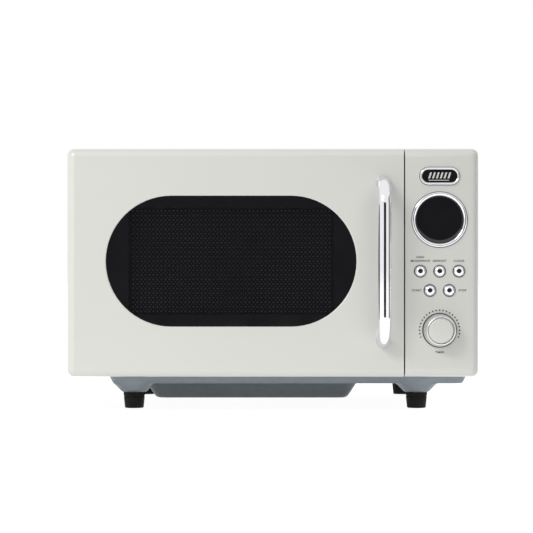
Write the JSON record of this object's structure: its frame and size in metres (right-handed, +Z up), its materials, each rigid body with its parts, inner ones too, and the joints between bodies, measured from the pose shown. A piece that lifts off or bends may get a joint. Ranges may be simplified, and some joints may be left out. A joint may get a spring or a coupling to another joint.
{
  "type": "microwave oven",
  "caption": "Rounded retro countertop microwave oven with a side-hinged door, a stadium window, a bent bar handle, a round display, push buttons and a timer knob.",
  "frame": {"origin": "on the table, under the middle of the outline", "axes": "+Z up, the door faces -Y, +X to the right seen from the front"},
  "size_m": [0.44, 0.368, 0.281],
  "materials": {
    "enamel": "cream enamel, glossy",
    "chrome": "polished chrome plate",
    "black_glass": "black printed glass",
    "screen_steel": "black perforated sheet",
    "stamped_steel": "stamped blue-grey steel",
    "zinc_steel": "zinc-plated steel",
    "oven_enamel": "grey oven enamel",
    "iron": "laminated electrical steel",
    "copper": "lacquered copper",
    "can_aluminium": "drawn can",
    "rubber": "black moulded rubber",
    "black_plastic": "black moulded plastic",
    "white_plastic": "white moulded plastic",
    "circuit_board": "green circuit board",
    "mica": "mica sheet",
    "clear_film": "clear film",
    "tray_glass": "pressed clear glass",
    "lamp_glass": "clear bulb in a holder"
  },
  "bodies": {
    "oven": {"control_panel": "enamel", "cabinet": "enamel", "display_ring": "chrome", "badge_rim": "chrome", "button_rings": "chrome", "display_lens": "black_glass", "base_plate": "stamped_steel", "motor_cover": "stamped_steel", "rear_panel": "zinc_steel", "front_frame": "zinc_steel", "case_screws": "zinc_steel", "waveguide": "zinc_steel", "magnetron_yoke": "zinc_steel", "capacitor_clamp": "zinc_steel", "hinge_upper": "zinc_steel", "hinge_lower": "zinc_steel", "encoder": "zinc_steel", "turntable_motor": "zinc_steel", "cavity": "oven_enamel", "transformer_core": "iron", "fan_motor": "iron", "transformer_windings": "copper", "magnetron_anode": "copper", "capacitor": "can_aluminium", "feet": "rubber", "cord_gland": "rubber", "fan_shroud": "black_plastic", "hv_diode": "black_plastic", "safety_switches": "black_plastic", "board_parts": "black_plastic", "badge_plate": "black_plastic", "latch_board": "white_plastic", "control_board": "circuit_board", "filter_board": "circuit_board", "waveguide_cover": "mica", "lamp": "lamp_glass"},
    "door": {"door_skin": "enamel", "door_glass": "black_glass", "door_frame": "zinc_steel", "door_screen": "screen_steel", "inner_film": "clear_film", "choke_cover": "black_plastic", "handle": "chrome", "door_screws": "zinc_steel", "latch_spring": "zinc_steel"},
    "latch": {"door_latch": "white_plastic"},
    "power_button": {"button_power": "chrome"},
    "defrost_button": {"button_defrost": "chrome"},
    "clock_button": {"button_clock": "chrome"},
    "start_button": {"button_start": "chrome"},
    "stop_button": {"button_stop": "chrome"},
    "timer_knob": {"knob": "chrome", "knob_face": "enamel"},
    "fan": {"fan_blade": "white_plastic"},
    "turntable": {"coupler": "white_plastic", "glass_tray": "tray_glass"},
    "carrier": {"roller_ring": "white_plastic"},
    "wheel_1": {"roller_1": "white_plastic"},
    "wheel_2": {"roller_2": "white_plastic"},
    "wheel_3": {"roller_3": "white_plastic"}
  },
  "joints": [
    {"name": "door_hinge", "type": "hinge", "parent": "oven", "child": "door", "pos_m": [-0.21, -0.12, 0.159], "axis": [0, 0, -1], "range_deg": [0, 100]},
    {"name": "latch_lift", "type": "slide", "parent": "door", "child": "latch", "axis": [0, 0, 1], "range_m": [0, 0.004], "stiffness_N_per_m": 150, "springref_m": -0.003, "deforming": ["latch_spring"]},
    {"name": "power_press", "type": "slide", "parent": "oven", "child": "power_button", "axis": [0, 1, 0], "range_m": [0, 0.0015], "stiffness_N_per_m": 400},
    {"name": "defrost_press", "type": "slide", "parent": "oven", "child": "defrost_button", "axis": [0, 1, 0], "range_m": [0, 0.0015], "stiffness_N_per_m": 400},
    {"name": "clock_press", "type": "slide", "parent": "oven", "child": "clock_button", "axis": [0, 1, 0], "range_m": [0, 0.0015], "stiffness_N_per_m": 400},
    {"name": "start_press", "type": "slide", "parent": "oven", "child": "start_button", "axis": [0, 1, 0], "range_m": [0, 0.0015], "stiffness_N_per_m": 400},
    {"name": "stop_press", "type": "slide", "parent": "oven", "child": "stop_button", "axis": [0, 1, 0], "range_m": [0, 0.0015], "stiffness_N_per_m": 400},
    {"name": "knob_turn", "type": "hinge", "parent": "oven", "child": "timer_knob", "pos_m": [0.17795, -0.146, 0.087], "axis": [0, -1, 0], "continuous": true},
    {"name": "fan_spin", "type": "hinge", "parent": "oven", "child": "fan", "pos_m": [0.165, 0.143, 0.204], "axis": [0, 1, 0], "continuous": true},
    {"name": "tray_spin", "type": "hinge", "parent": "oven", "child": "turntable", "pos_m": [-0.0405, 0.0305, 0.075], "axis": [0, 0, 1], "continuous": true},
    {"name": "carrier_spin", "type": "hinge", "parent": "oven", "child": "carrier", "pos_m": [-0.0405, 0.0305, 0.0677], "axis": [0, 0, 1], "continuous": true},
    {"name": "wheel_1_roll", "type": "hinge", "parent": "carrier", "child": "wheel_1", "pos_m": [-0.0405, 0.1255, 0.0677], "axis": [0, 1, 0], "continuous": true},
    {"name": "wheel_2_roll", "type": "hinge", "parent": "carrier", "child": "wheel_2", "pos_m": [-0.12277, -0.017, 0.0677], "axis": [-0.866, -0.5, 0], "continuous": true},
    {"name": "wheel_3_roll", "type": "hinge", "parent": "carrier", "child": "wheel_3", "pos_m": [0.04177, -0.017, 0.0677], "axis": [0.866, -0.5, 0], "continuous": true}
  ],
  "couplings": [
    {"joint": "carrier_spin", "follows": "tray_spin", "ratio": 0.5},
    {"joint": "wheel_1_roll", "follows": "tray_spin", "ratio": -6.3333},
    {"joint": "wheel_2_roll", "follows": "tray_spin", "ratio": -6.3333},
    {"joint": "wheel_3_roll", "follows": "tray_spin", "ratio": -6.3333}
  ]
}
